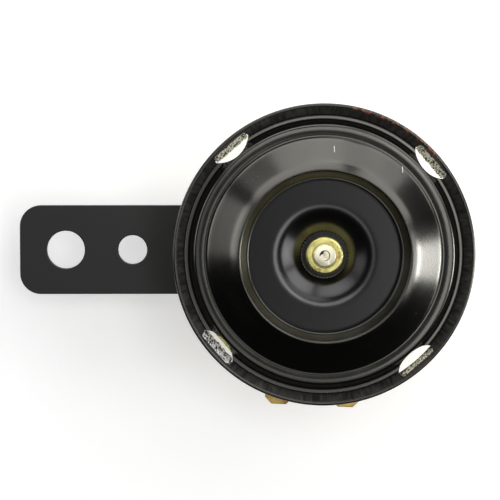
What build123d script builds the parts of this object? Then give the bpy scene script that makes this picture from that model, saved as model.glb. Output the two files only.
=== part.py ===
from build123d import *
import math
import os

# Electric disc horn on a flat steel bracket. Everything is drawn on the bench frame of the horn:
# the local Z axis is the sound axis and points forward, X points right and Y up, and Z = 0 is
# the rear face of the bracket. place() then stands the horn up in the frame of the finished
# part: forward is -Y, up is +Z, and the origin is the centre of the bracket's mounting hole.
# A profile point is (radius, forward distance). All sizes are in millimetres.

# ---- bracket ----
BRACKET_THICKNESS = 2.0
BRACKET_WIDTH = 20.0
BRACKET_CORNER = 4.7
MOUNT_HOLE_RADIUS = 4.25
SECOND_HOLE_RADIUS = 3.25
HOLE_SPACING = 15.0
MOUNT_HOLE_TO_END = 10.3
MOUNT_HOLE_TO_AXIS = 57.0

# ---- central stud and its nuts ----
SHANK_RADIUS = 3.95
SHANK_HOLE_CLEARANCE = 0.25
NUT_ACROSS_FLATS = 13.0
CORE_NUT_HEIGHT = 3.0
BRACKET_NUT_HEIGHT = 6.5
NUT_CHAMFER = 0.6
SPRING_WASHER_THICKNESS = 2.0
SPRING_WASHER_RADIUS = 6.8
SPRING_WASHER_GAP = 1.2
SHANK_BEYOND_NUT = 1.5
SHANK_CHAMFER = 0.8

# ---- rear housing ----
HOUSING_THICKNESS = 1.0
HOUSING_DEPTH = 15.0
HOUSING_TAPER = 0.8
HOUSING_REAR_BEND = 3.0
HOUSING_MOUTH_BEND = 1.0
BREAKER_TO_HOUSING_BEND = 1.2
FLANGE_CLEARANCE = 0.55

# ---- clamped stack ----
REAR_GASKET_THICKNESS = 0.8
DIAPHRAGM_THICKNESS = 0.4
FRONT_GASKET_THICKNESS = 1.4
GASKET_WIDTH = 1.3
GASKET_TO_BEND = 0.1
STACK_TO_SHOULDER = 0.55

# ---- front bell ----
BELL_THICKNESS = 0.6
MOUTH_RADIUS = 16.5
MOUTH_HEIGHT = 3.5
MOUTH_LIP_WIDTH = 1.8
CROWN_HEIGHT = 5.7
CROWN_BEND = 0.9
BROW_WIDTH = 1.5
BROW_HEIGHT = 4.8
BROW_BEND = 8.0
SLOPE_FOOT_BEND = 3.6
SHOULDER_WIDTH = 2.65
SHOULDER_BEND = 0.85
CHANNEL_SIDE_WIDTH = 1.35
CHANNEL_FLOOR_WIDTH = 0.7
CHANNEL_BEND = 0.3
CHANNEL_WALL_WIDTH = 2.5
CHANNEL_WALL_ANGLE = 54.0
RIM_FOLD = 0.7
SKIRT_BEND = 0.9
LIP_WIDTH = 0.6

# ---- windows and locking tabs, each list going round from the upper right ----
WINDOW_ANGLES = (41.0, 131.0, 221.0, 311.0)
WINDOW_LENGTH = 9.0
WINDOW_TO_SHOULDER = 0.25
WINDOW_TO_RIM = 1.3
WINDOW_ARC_RADIUS = 6.5
WINDOW_CORNER = 0.8
TAB_SIDE_CLEARANCE = 0.5
TAB_ROOT_OVERLAP = 0.05
TAB_TIP_INSETS = (1.0, 1.6, 2.0, 0.45)
TAB_TIP_ABOVE_FLANGE = 0.4
TAB_TIP_SLANT = 0.48
NOTCH_DEPTHS = (3.35, 3.35, 2.4, 2.8)
NOTCH_END_CLEARANCE = 0.6

# ---- tone disc ----
TONE_DISC_THICKNESS = 0.8
TONE_DISC_TO_SLOPE = 5.3
TONE_SEAT_MARGIN = 0.2
TONE_FUNNEL_RADIUS = 10.0
TONE_FUNNEL_HEIGHT = 3.0
TONE_FUNNEL_BEND = 5.0
TONE_SEAT_BEND = 0.9
TONE_EDGE_BEND = 1.2
TONE_EDGE_DROP = 1.6

# ---- armature and its nut ----
STUD_RADIUS = 2.5
STUD_HOLE_CLEARANCE = 0.05
STUD_CHAMFER = 0.3
STUD_BEYOND_NUT = 0.4
PUNCH_MARK_RADIUS = 0.75
PUNCH_MARK_WIDTH = 0.3
PUNCH_MARK_DEPTH = 0.2
PUNCH_MARK_OFFSET = 0.35
COLLAR_NUT_RADIUS = 4.05
COLLAR_NUT_HEIGHT = 2.2
COLLAR_NUT_CHAMFER = 0.55
LOCK_WASHER_RADIUS = 4.8
LOCK_WASHER_THICKNESS = 0.5
LOCK_WASHER_TEETH = 44
LOCK_TOOTH_DEPTH = 0.3
ARMATURE_RADIUS = 6.5
PUSHER_TO_CONTACT = 1.3
PUSHER_BITE = 1.1
PUSHER_THICKNESS = 1.0
PUSHER_GAP = 0.15
AIR_GAP = 0.9

# ---- electromagnet ----
POLE_RADIUS = 7.0
POLE_HEIGHT = 6.6
BOBBIN_WALL = 0.9
BOBBIN_FLANGE_THICKNESS = 1.0
BOBBIN_ABOVE_POLE = 0.5
BOBBIN_FLANGE_LIP = 0.5
WINDING_DEPTH = 5.2

# ---- contact breaker ----
BREAKER_WIDTH = 12.0
BREAKER_LENGTH = 5.6
BREAKER_TO_BOBBIN = 0.8
BREAKER_PLATE_THICKNESS = 1.0
BREAKER_SHELF_HEIGHT = 7.5
LOWER_INSULATOR_THICKNESS = 0.8
MOVING_LEAF_THICKNESS = 0.4
CONTACT_HEIGHT = 0.7
FIXED_LEAF_THICKNESS = 0.7
UPPER_INSULATOR_THICKNESS = 0.6
LEAF_ROOT_WIDTH = 10.4
LEAF_TONGUE_WIDTH = 6.0
FIXED_LEAF_BEYOND_CONTACT = 0.2
CONTACT_TO_STACK = 1.1
CONTACT_RADIUS = 1.1
BREAKER_RIVET_RADIUS = 0.9
BREAKER_RIVET_HEAD_RADIUS = 1.4
BREAKER_RIVET_HEAD_HEIGHT = 0.6
BREAKER_RIVET_SPREAD = 3.7
BREAKER_RIVET_TO_WEB = 0.1

# ---- adjusting screw ----
ADJUSTER_INSET = 2.2
ADJUSTER_RADIUS = 2.0
ADJUSTER_CLEARANCE = 0.3
ADJUSTER_BUSH_RADIUS = 2.7
ADJUSTER_BUSH_FLANGE_RADIUS = 4.2
ADJUSTER_BUSH_FLANGE_THICKNESS = 1.5
ADJUSTER_NUT_ACROSS_FLATS = 7.0
ADJUSTER_NUT_HEIGHT = 2.2
ADJUSTER_BEYOND_NUT = 1.8
DRIVER_SLOT_WIDTH = 0.8
DRIVER_SLOT_DEPTH = 1.0

# ---- terminals ----
TERMINAL_TURN = -2.8
TERMINAL_SPREAD = 15.0
TERMINAL_WIDTH = 6.3
TERMINAL_THICKNESS = 0.8
TERMINAL_RIVET_TO_BOBBIN = 0.5
TERMINAL_TIP_REACH = 35.1
TERMINAL_TIP_CHAMFER = 1.5
TERMINAL_HOLE_RADIUS = 0.9
TERMINAL_HOLE_FROM_TIP = 4.8
TERMINAL_RIVET_RADIUS = 1.9
TERMINAL_RIVET_HEAD_RADIUS = 2.9
TERMINAL_RIVET_INNER_HEAD_RADIUS = 2.2
TERMINAL_RIVET_HEAD_HEIGHT = 0.8
INSULATOR_THICKNESS = 1.0
INSULATOR_COLLAR_RADIUS = 2.7
OUTER_INSULATOR_MARGIN = 4.5
OUTER_INSULATOR_LENGTH = 9.0
OUTER_INSULATOR_CORNER = 2.0
INNER_INSULATOR_MARGIN = 2.8
INNER_INSULATOR_LENGTH = 4.6
INNER_INSULATOR_CORNER = 0.8

# ---- leads ----
LEAD_RADIUS = 0.35
LEAD_BEND_SHARE = 0.45
LEAD_LANDING = 2.0
LEAD_ROUTE_TO_BOBBIN = 4.9
LEAD_ROUTE_ANGLES = (225.0, 195.0, 165.0, 135.0)
COIL_LEAD_ANGLE = 50.0

# ---- worked out from the sizes above ----
HOUSING_REAR = BRACKET_THICKNESS + CORE_NUT_HEIGHT
HOUSING_FLOOR = HOUSING_REAR + HOUSING_THICKNESS
FLANGE_FRONT = HOUSING_REAR + HOUSING_DEPTH
FLANGE_REAR = FLANGE_FRONT - HOUSING_THICKNESS
DIAPHRAGM_REAR = FLANGE_FRONT + REAR_GASKET_THICKNESS
DIAPHRAGM_FRONT = DIAPHRAGM_REAR + DIAPHRAGM_THICKNESS
SHOULDER_FRONT = DIAPHRAGM_FRONT + FRONT_GASKET_THICKNESS + BELL_THICKNESS
CHANNEL_FLOOR = FLANGE_FRONT + BELL_THICKNESS
LIP_REAR = FLANGE_REAR - BELL_THICKNESS
TONE_SEAT = DIAPHRAGM_FRONT + TONE_DISC_THICKNESS
LOCK_WASHER_FRONT = TONE_SEAT + LOCK_WASHER_THICKNESS
COLLAR_NUT_FRONT = LOCK_WASHER_FRONT + COLLAR_NUT_HEIGHT
STUD_END = COLLAR_NUT_FRONT + STUD_BEYOND_NUT
POLE_FACE = HOUSING_FLOOR + POLE_HEIGHT
BOBBIN_TOP = POLE_FACE + BOBBIN_ABOVE_POLE
BREAKER_SHELF = HOUSING_FLOOR + BREAKER_SHELF_HEIGHT
MOVING_LEAF_REAR = BREAKER_SHELF + LOWER_INSULATOR_THICKNESS
MOVING_LEAF_FRONT = MOVING_LEAF_REAR + MOVING_LEAF_THICKNESS
FIXED_LEAF_REAR = MOVING_LEAF_FRONT + 2 * CONTACT_HEIGHT
FIXED_LEAF_FRONT = FIXED_LEAF_REAR + FIXED_LEAF_THICKNESS
BREAKER_TOP = FIXED_LEAF_FRONT + UPPER_INSULATOR_THICKNESS
PUSHER_REAR = MOVING_LEAF_FRONT + PUSHER_GAP
ARMATURE_REAR = POLE_FACE + AIR_GAP
SHANK_HOLE_RADIUS = SHANK_RADIUS + SHANK_HOLE_CLEARANCE
SHANK_END = -SPRING_WASHER_THICKNESS - BRACKET_NUT_HEIGHT - SHANK_BEYOND_NUT
ADJUSTER_NUT_FRONT = HOUSING_REAR - ADJUSTER_BUSH_FLANGE_THICKNESS
ADJUSTER_END = ADJUSTER_NUT_FRONT - ADJUSTER_NUT_HEIGHT - ADJUSTER_BEYOND_NUT
TERMINAL_FRONT = HOUSING_REAR - INSULATOR_THICKNESS
TERMINAL_REAR = TERMINAL_FRONT - TERMINAL_THICKNESS
INNER_INSULATOR_FRONT = HOUSING_FLOOR + INSULATOR_THICKNESS

# ---- distances from the sound axis, worked out from the magnet outwards ----
WINDING_RADIUS = POLE_RADIUS + BOBBIN_WALL + WINDING_DEPTH
BOBBIN_FLANGE_RADIUS = WINDING_RADIUS + BOBBIN_FLANGE_LIP
BREAKER_INNER_REACH = BOBBIN_FLANGE_RADIUS + BREAKER_TO_BOBBIN
BREAKER_OUTER_REACH = BREAKER_INNER_REACH + BREAKER_LENGTH
BREAKER_WEB_REACH = BREAKER_OUTER_REACH - BREAKER_PLATE_THICKNESS
BREAKER_RIVET_REACH = BREAKER_WEB_REACH - BREAKER_RIVET_HEAD_RADIUS - BREAKER_RIVET_TO_WEB
CONTACT_REACH = BREAKER_INNER_REACH - CONTACT_TO_STACK - CONTACT_RADIUS
FIXED_LEAF_REACH = CONTACT_REACH - CONTACT_RADIUS - FIXED_LEAF_BEYOND_CONTACT
PUSHER_RADIUS = CONTACT_REACH - CONTACT_RADIUS - PUSHER_TO_CONTACT
MOVING_LEAF_REACH = PUSHER_RADIUS - PUSHER_BITE
ADJUSTER_REACH = BREAKER_INNER_REACH + ADJUSTER_INSET
TERMINAL_RIVET_REACH = BOBBIN_FLANGE_RADIUS + TERMINAL_RIVET_INNER_HEAD_RADIUS + TERMINAL_RIVET_TO_BOBBIN
LEAD_ROUTE_RADIUS = BOBBIN_FLANGE_RADIUS + LEAD_ROUTE_TO_BOBBIN
HOUSING_REAR_RADIUS = BREAKER_OUTER_REACH + BREAKER_TO_HOUSING_BEND + HOUSING_REAR_BEND
HOUSING_MOUTH_RADIUS = HOUSING_REAR_RADIUS + HOUSING_TAPER
GASKET_INNER_RADIUS = HOUSING_MOUTH_RADIUS + HOUSING_MOUTH_BEND + GASKET_TO_BEND
STACK_RADIUS = GASKET_INNER_RADIUS + GASKET_WIDTH
SHOULDER_RADIUS = STACK_RADIUS + STACK_TO_SHOULDER
SLOPE_FOOT_RADIUS = SHOULDER_RADIUS - SHOULDER_WIDTH
CROWN_RADIUS = MOUTH_RADIUS + MOUTH_LIP_WIDTH
BROW_RADIUS = CROWN_RADIUS + BROW_WIDTH
CHANNEL_INNER_RADIUS = SHOULDER_RADIUS + CHANNEL_SIDE_WIDTH
CHANNEL_OUTER_RADIUS = CHANNEL_INNER_RADIUS + CHANNEL_FLOOR_WIDTH
BELL_RADIUS = CHANNEL_OUTER_RADIUS + CHANNEL_WALL_WIDTH
FLANGE_RADIUS = BELL_RADIUS - BELL_THICKNESS - FLANGE_CLEARANCE
LIP_INNER_RADIUS = FLANGE_RADIUS - LIP_WIDTH
WINDOW_INNER_REACH = SHOULDER_RADIUS + WINDOW_TO_SHOULDER
WINDOW_OUTER_REACH = BELL_RADIUS - WINDOW_TO_RIM
TONE_DISC_RADIUS = SLOPE_FOOT_RADIUS - TONE_DISC_TO_SLOPE
TONE_SEAT_RADIUS = LOCK_WASHER_RADIUS + TONE_SEAT_MARGIN

os.makedirs("parts", exist_ok=True)


def place(shape):
    """Stand a shape drawn on the bench frame up in the frame of the finished part."""
    return Pos(MOUNT_HOLE_TO_AXIS, 0, 0) * Rot(90, 0, 0) * shape


def save(name, shape):
    """Write one node from a shape, or from a list of separate solids."""
    solids = [place(s) for s in shape] if isinstance(shape, list) else [place(shape)]
    node = solids[0] if len(solids) == 1 else Compound(children=solids)
    export_step(node, f"parts/{name}.step")


def turned(points):
    """A solid of revolution about the sound axis from a closed outline of straight runs."""
    outline = make_face(Polyline(*points, close=True))
    return revolve(Plane.XZ * outline, Axis.Z)


def other_face(points, bends, wall):
    """The far face of a sheet whose wall lies to the right of its path, or to the left if negative."""
    runs = [Vector(*b) - Vector(*a) for a, b in zip(points, points[1:])]
    sides = [Vector(run.Y, -run.X).normalized() for run in runs]
    corners = [Vector(*points[0]) + sides[0] * wall]
    far_bends = []
    for corner, bend, before, after in zip(points[1:-1], bends, sides, sides[1:]):
        corners.append(Vector(*corner) + (before + after) * (wall / (1 + before.dot(after))))
        turns_left = before.X * after.Y > before.Y * after.X
        far_bends.append(bend + wall if turns_left else bend - wall)
    corners.append(Vector(*points[-1]) + sides[-1] * wall)
    return FilletPolyline(*corners, radius=far_bends)


def pressed(points, bends, wall):
    """A pressed sheet, turned about the sound axis, from the points and bends of one face."""
    near = FilletPolyline(*points, radius=bends)
    far = other_face(points, bends, wall)
    ends = [Line(near @ 0, far @ 0), Line(near @ 1, far @ 1)]
    section = make_face(near.edges() + far.edges() + ends)
    return revolve(Plane.XZ * section, Axis.Z)


def disc(radius, rear, front, x=0, y=0):
    """A round bar or hole along the sound axis between two stations."""
    return Pos(x, y, rear) * extrude(Circle(radius), front - rear)


def block(width, inner, outer, rear, front):
    """A rectangular block centred on X that reaches from one Y to another."""
    return Pos(0, (inner + outer) / 2, rear) * extrude(Rectangle(width, outer - inner), front - rear)


def hex_nut(across_flats, bore_radius, rear, front, chamfer_size, x=0, y=0):
    """A hexagon nut whose corners are turned off at both faces."""
    prism = extrude(RegularPolygon(across_flats / 2, 6, major_radius=False), front - rear)
    corner = across_flats / math.sqrt(3)
    barrel = chamfer(extrude(Circle(corner), front - rear).edges(), chamfer_size)
    bore = extrude(Circle(bore_radius), front - rear)
    return Pos(x, y, rear) * ((prism & barrel) - bore)


def lead(points):
    """An insulated wire along straight runs joined by arcs as large as the runs allow."""
    stops = [Vector(*p) for p in points]
    runs = [b - a for a, b in zip(stops, stops[1:])]
    bends = [
        LEAD_BEND_SHARE * min(a.length, b.length) / math.tan(math.radians(a.get_angle(b)) / 2)
        for a, b in zip(runs, runs[1:])
    ]
    path = FilletPolyline(*stops, radius=bends)
    return sweep(Plane(path @ 0, z_dir=path % 0) * Circle(LEAD_RADIUS), path)


def spoke(angle, reach, height):
    """A point at an angle about the sound axis, a distance from it and a height along it."""
    return (reach * math.cos(math.radians(angle)), reach * math.sin(math.radians(angle)), height)


# ---- bracket: a flat strip, rounded about the central stud ----
def bracket():
    left = -MOUNT_HOLE_TO_AXIS - MOUNT_HOLE_TO_END
    strip = Pos(left / 2, 0) * Rectangle(-left, BRACKET_WIDTH)
    free_corners = strip.vertices().group_by(Axis.X)[0]
    outline = fillet(free_corners, BRACKET_CORNER) + Circle(BRACKET_WIDTH / 2)
    outline -= Pos(-MOUNT_HOLE_TO_AXIS, 0) * Circle(MOUNT_HOLE_RADIUS)
    outline -= Pos(-MOUNT_HOLE_TO_AXIS + HOLE_SPACING, 0) * Circle(SECOND_HOLE_RADIUS)
    outline -= Circle(SHANK_HOLE_RADIUS)
    return extrude(outline, BRACKET_THICKNESS)


def spring_washer():
    ring = disc(SPRING_WASHER_RADIUS, -SPRING_WASHER_THICKNESS, 0)
    ring -= disc(SHANK_HOLE_RADIUS, -SPRING_WASHER_THICKNESS, 0)
    split = block(SPRING_WASHER_GAP, 0, SPRING_WASHER_RADIUS, -SPRING_WASHER_THICKNESS, 0)
    return ring - split


# ---- windows: flat on the outer side, bowed on the inner side ----
def window_outline(shrink=0.0):
    """The window lies across +Y, at its true distance from the sound axis."""
    length = WINDOW_LENGTH - 2 * shrink
    box = Pos(0, WINDOW_OUTER_REACH - WINDOW_LENGTH / 2) * Rectangle(length, WINDOW_LENGTH)
    box = fillet(box.vertices().group_by(Axis.Y)[-1], WINDOW_CORNER)
    arc_centre = WINDOW_INNER_REACH + WINDOW_ARC_RADIUS
    return box & Pos(0, arc_centre) * Circle(WINDOW_ARC_RADIUS - shrink)


def wall_height(reach):
    """Forward distance of the channel's outer wall at a distance from the sound axis."""
    rise = (reach - CHANNEL_OUTER_RADIUS) * math.tan(math.radians(CHANNEL_WALL_ANGLE))
    return CHANNEL_FLOOR + rise


def locking_tab(tip_inset):
    """The metal of a window, bent back from its straight outer side."""
    tip_reach = WINDOW_OUTER_REACH - tip_inset
    root = WINDOW_OUTER_REACH + TAB_ROOT_OVERLAP
    root_front = wall_height(WINDOW_OUTER_REACH)
    root_rear = root_front - BELL_THICKNESS / math.cos(math.radians(CHANNEL_WALL_ANGLE))
    tip = FLANGE_REAR + TAB_TIP_ABOVE_FLANGE
    section = Polyline(
        (root, root_front),
        (tip_reach, tip + BELL_THICKNESS / 2),
        (tip_reach + TAB_TIP_SLANT, tip),
        (root, root_rear),
        close=True,
    )
    width = WINDOW_LENGTH - 2 * TAB_SIDE_CLEARANCE
    plate = extrude(Plane.YZ * make_face(section), width / 2, both=True)
    opening = Pos(0, TAB_ROOT_OVERLAP) * window_outline(TAB_SIDE_CLEARANCE / 2)
    return plate & extrude(opening, SHOULDER_FRONT)


def front_bell():
    wall_top = wall_height(BELL_RADIUS)
    points = [
        (MOUTH_RADIUS, SHOULDER_FRONT + MOUTH_HEIGHT),
        (CROWN_RADIUS, SHOULDER_FRONT + CROWN_HEIGHT),
        (BROW_RADIUS, SHOULDER_FRONT + BROW_HEIGHT),
        (SLOPE_FOOT_RADIUS, SHOULDER_FRONT),
        (SHOULDER_RADIUS, SHOULDER_FRONT),
        (CHANNEL_INNER_RADIUS, CHANNEL_FLOOR),
        (CHANNEL_OUTER_RADIUS, CHANNEL_FLOOR),
        (BELL_RADIUS, wall_top),
        (BELL_RADIUS, LIP_REAR),
        (LIP_INNER_RADIUS, LIP_REAR),
    ]
    bends = [
        CROWN_BEND,
        BROW_BEND,
        SLOPE_FOOT_BEND,
        SHOULDER_BEND,
        CHANNEL_BEND,
        CHANNEL_BEND,
        RIM_FOLD,
        SKIRT_BEND,
    ]
    shell = pressed(points, bends, BELL_THICKNESS)
    window_depth = SHOULDER_FRONT + BELL_THICKNESS - FLANGE_FRONT
    for angle, tip_inset in zip(WINDOW_ANGLES, TAB_TIP_INSETS):
        cutter = Pos(0, 0, FLANGE_FRONT) * extrude(window_outline(), window_depth)
        turn = Rot(0, 0, angle - 90)
        shell -= turn * cutter
        shell += turn * locking_tab(tip_inset)
    return shell


# ---- rear housing: a deep cup whose flange is notched behind each window ----
def terminal_positions():
    """Centre points of the two terminal rivets."""
    turn = Rot(0, 0, TERMINAL_TURN)
    return [
        (turn * Pos(side * TERMINAL_SPREAD / 2, -TERMINAL_RIVET_REACH, 0)).position
        for side in (-1, 1)
    ]


def housing():
    points = [
        (SHANK_HOLE_RADIUS, HOUSING_REAR),
        (HOUSING_REAR_RADIUS, HOUSING_REAR),
        (HOUSING_MOUTH_RADIUS, FLANGE_REAR),
        (FLANGE_RADIUS, FLANGE_REAR),
    ]
    cup = pressed(points, [HOUSING_REAR_BEND, HOUSING_MOUTH_BEND], -HOUSING_THICKNESS)
    width = WINDOW_LENGTH + 2 * NOTCH_END_CLEARANCE
    for angle, depth in zip(WINDOW_ANGLES, NOTCH_DEPTHS):
        notch = block(width, FLANGE_RADIUS - depth, FLANGE_RADIUS + depth, FLANGE_REAR, FLANGE_FRONT)
        cup -= Rot(0, 0, angle - 90) * notch
    cup -= disc(ADJUSTER_BUSH_RADIUS, HOUSING_REAR, HOUSING_FLOOR, 0, ADJUSTER_REACH)
    for spot in terminal_positions():
        cup -= disc(INSULATOR_COLLAR_RADIUS, HOUSING_REAR, HOUSING_FLOOR, spot.X, spot.Y)
    return cup


def flat_ring(inner, outer, rear, front):
    return disc(outer, rear, front) - disc(inner, rear, front)


# ---- tone disc: a funnel in the middle of a flat ring, with a turned-back edge ----
def tone_disc():
    top = TONE_SEAT + TONE_FUNNEL_HEIGHT
    points = [
        (STUD_RADIUS + STUD_HOLE_CLEARANCE, TONE_SEAT),
        (TONE_SEAT_RADIUS, TONE_SEAT),
        (TONE_FUNNEL_RADIUS, top),
        (TONE_DISC_RADIUS, top),
        (TONE_DISC_RADIUS, top - TONE_EDGE_DROP),
    ]
    bends = [TONE_SEAT_BEND, TONE_FUNNEL_BEND, TONE_EDGE_BEND]
    return pressed(points, bends, TONE_DISC_THICKNESS)


def lock_washer():
    ring = flat_ring(STUD_RADIUS + STUD_HOLE_CLEARANCE, LOCK_WASHER_RADIUS, TONE_SEAT, LOCK_WASHER_FRONT)
    pitch = 2 * math.pi * LOCK_WASHER_RADIUS / LOCK_WASHER_TEETH
    inner = LOCK_WASHER_RADIUS - LOCK_TOOTH_DEPTH
    gap = block(pitch / 2, inner, LOCK_WASHER_RADIUS + pitch, TONE_SEAT, LOCK_WASHER_FRONT)
    for tooth in range(LOCK_WASHER_TEETH):
        ring -= Rot(0, 0, tooth * 360 / LOCK_WASHER_TEETH) * gap
    return ring


def centre_nut():
    edge = COLLAR_NUT_CHAMFER
    return turned([
        (STUD_RADIUS, LOCK_WASHER_FRONT),
        (COLLAR_NUT_RADIUS, LOCK_WASHER_FRONT),
        (COLLAR_NUT_RADIUS, COLLAR_NUT_FRONT - edge),
        (COLLAR_NUT_RADIUS - edge, COLLAR_NUT_FRONT),
        (STUD_RADIUS, COLLAR_NUT_FRONT),
    ])


def armature():
    body = turned([
        (0, ARMATURE_REAR),
        (ARMATURE_RADIUS, ARMATURE_REAR),
        (ARMATURE_RADIUS, PUSHER_REAR),
        (PUSHER_RADIUS, PUSHER_REAR),
        (PUSHER_RADIUS, PUSHER_REAR + PUSHER_THICKNESS),
        (ARMATURE_RADIUS, PUSHER_REAR + PUSHER_THICKNESS),
        (ARMATURE_RADIUS, DIAPHRAGM_REAR),
        (STUD_RADIUS, DIAPHRAGM_REAR),
        (STUD_RADIUS, STUD_END - STUD_CHAMFER),
        (STUD_RADIUS - STUD_CHAMFER, STUD_END),
        (0, STUD_END),
    ])
    mark_inner = PUNCH_MARK_RADIUS - PUNCH_MARK_WIDTH
    mark = flat_ring(mark_inner, PUNCH_MARK_RADIUS, STUD_END - PUNCH_MARK_DEPTH, STUD_END)
    mark -= block(2 * mark_inner, 0, 2 * PUNCH_MARK_RADIUS, STUD_END - PUNCH_MARK_DEPTH, STUD_END)
    return body - Pos(PUNCH_MARK_OFFSET, 0, 0) * mark


# ---- electromagnet ----
def pole_core():
    return turned([
        (0, POLE_FACE),
        (POLE_RADIUS, POLE_FACE),
        (POLE_RADIUS, HOUSING_FLOOR),
        (SHANK_RADIUS, HOUSING_FLOOR),
        (SHANK_RADIUS, SHANK_END + SHANK_CHAMFER),
        (SHANK_RADIUS - SHANK_CHAMFER, SHANK_END),
        (0, SHANK_END),
    ])


def coil_bobbin():
    tube_radius = POLE_RADIUS + BOBBIN_WALL
    return turned([
        (POLE_RADIUS, HOUSING_FLOOR),
        (BOBBIN_FLANGE_RADIUS, HOUSING_FLOOR),
        (BOBBIN_FLANGE_RADIUS, HOUSING_FLOOR + BOBBIN_FLANGE_THICKNESS),
        (tube_radius, HOUSING_FLOOR + BOBBIN_FLANGE_THICKNESS),
        (tube_radius, BOBBIN_TOP - BOBBIN_FLANGE_THICKNESS),
        (BOBBIN_FLANGE_RADIUS, BOBBIN_TOP - BOBBIN_FLANGE_THICKNESS),
        (BOBBIN_FLANGE_RADIUS, BOBBIN_TOP),
        (POLE_RADIUS, BOBBIN_TOP),
    ])


def coil_winding():
    inner = POLE_RADIUS + BOBBIN_WALL
    rear = HOUSING_FLOOR + BOBBIN_FLANGE_THICKNESS
    return flat_ring(inner, WINDING_RADIUS, rear, BOBBIN_TOP - BOBBIN_FLANGE_THICKNESS)


# ---- contact breaker: two spring leaves stacked on a folded steel bracket ----
def rivet_spots():
    return [(side * BREAKER_RIVET_SPREAD, BREAKER_RIVET_REACH) for side in (-1, 1)]


def drilled(plate, rear, front):
    """The same plate with the two holes of the breaker rivets."""
    for x, y in rivet_spots():
        plate -= disc(BREAKER_RIVET_RADIUS, rear, front, x, y)
    return plate


def breaker_bracket():
    inner, outer = BREAKER_INNER_REACH, BREAKER_OUTER_REACH
    gauge = BREAKER_PLATE_THICKNESS
    foot = block(BREAKER_WIDTH, inner, outer, HOUSING_FLOOR, HOUSING_FLOOR + gauge)
    web = block(BREAKER_WIDTH, BREAKER_WEB_REACH, outer, HOUSING_FLOOR, BREAKER_SHELF)
    shelf = block(BREAKER_WIDTH, inner, outer, BREAKER_SHELF - gauge, BREAKER_SHELF)
    folded = foot + web + drilled(shelf, BREAKER_SHELF - gauge, BREAKER_SHELF)
    passage = ADJUSTER_RADIUS + ADJUSTER_CLEARANCE
    return folded - disc(passage, HOUSING_FLOOR, HOUSING_FLOOR + gauge, 0, ADJUSTER_REACH)


def insulator(rear, front):
    plate = block(LEAF_ROOT_WIDTH, BREAKER_INNER_REACH, BREAKER_OUTER_REACH, rear, front)
    return drilled(plate, rear, front)


def leaf(tip_reach, rear, front):
    """A spring leaf: a wide root under the rivets and a narrow tongue over the coil."""
    root = block(LEAF_ROOT_WIDTH, BREAKER_INNER_REACH, BREAKER_OUTER_REACH, rear, front)
    tongue = block(LEAF_TONGUE_WIDTH, tip_reach, BREAKER_INNER_REACH, rear, front)
    return drilled(root + tongue, rear, front)


def breaker_rivets():
    head = BREAKER_RIVET_HEAD_HEIGHT
    underside = BREAKER_SHELF - BREAKER_PLATE_THICKNESS
    return [
        disc(BREAKER_RIVET_RADIUS, underside, BREAKER_TOP, x, y)
        + disc(BREAKER_RIVET_HEAD_RADIUS, BREAKER_TOP, BREAKER_TOP + head, x, y)
        + disc(BREAKER_RIVET_HEAD_RADIUS, underside - head, underside, x, y)
        for x, y in rivet_spots()
    ]


# ---- adjusting screw, which bears on the shelf of the breaker bracket ----
def adjusting_screw():
    tip = BREAKER_SHELF - BREAKER_PLATE_THICKNESS
    screw = disc(ADJUSTER_RADIUS, ADJUSTER_END, tip, 0, ADJUSTER_REACH)
    slot = Box(4 * ADJUSTER_RADIUS, DRIVER_SLOT_WIDTH, 2 * DRIVER_SLOT_DEPTH)
    return screw - Pos(0, ADJUSTER_REACH, ADJUSTER_END) * slot


def adjuster_bush():
    body = disc(ADJUSTER_BUSH_RADIUS, HOUSING_REAR, HOUSING_FLOOR, 0, ADJUSTER_REACH)
    body += disc(ADJUSTER_BUSH_FLANGE_RADIUS, ADJUSTER_NUT_FRONT, HOUSING_REAR, 0, ADJUSTER_REACH)
    return body - disc(ADJUSTER_RADIUS, ADJUSTER_NUT_FRONT, HOUSING_FLOOR, 0, ADJUSTER_REACH)


# ---- terminals: two blades riveted through an insulating plate ----
def terminal(side):
    centre = side * TERMINAL_SPREAD / 2
    length = TERMINAL_TIP_REACH - TERMINAL_RIVET_REACH
    blade = Pos(0, -TERMINAL_RIVET_REACH - length / 2) * Rectangle(TERMINAL_WIDTH, length)
    blade = chamfer(blade.vertices().group_by(Axis.Y)[0], TERMINAL_TIP_CHAMFER)
    blade += Pos(0, -TERMINAL_RIVET_REACH) * Circle(TERMINAL_WIDTH / 2)
    blade -= Pos(0, -TERMINAL_RIVET_REACH) * Circle(TERMINAL_RIVET_RADIUS)
    blade -= Pos(0, TERMINAL_HOLE_FROM_TIP - TERMINAL_TIP_REACH) * Circle(TERMINAL_HOLE_RADIUS)
    return Rot(0, 0, TERMINAL_TURN) * Pos(centre, 0, TERMINAL_REAR) * extrude(blade, TERMINAL_THICKNESS)


def insulating_plate(margin, length, corner, rear, front):
    """A plate round both terminal rivets that reaches past each by a margin."""
    plate = fillet(Rectangle(TERMINAL_SPREAD + 2 * margin, length).vertices(), corner)
    for side in (-1, 1):
        plate -= Pos(side * TERMINAL_SPREAD / 2, 0) * Circle(TERMINAL_RIVET_RADIUS)
    return Rot(0, 0, TERMINAL_TURN) * Pos(0, -TERMINAL_RIVET_REACH, rear) * extrude(plate, front - rear)


def terminal_insulator():
    plate = insulating_plate(
        OUTER_INSULATOR_MARGIN, OUTER_INSULATOR_LENGTH, OUTER_INSULATOR_CORNER, TERMINAL_FRONT, HOUSING_REAR
    )
    for spot in terminal_positions():
        collar = disc(INSULATOR_COLLAR_RADIUS, HOUSING_REAR, HOUSING_FLOOR, spot.X, spot.Y)
        plate += collar - disc(TERMINAL_RIVET_RADIUS, HOUSING_REAR, HOUSING_FLOOR, spot.X, spot.Y)
    return plate


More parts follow.
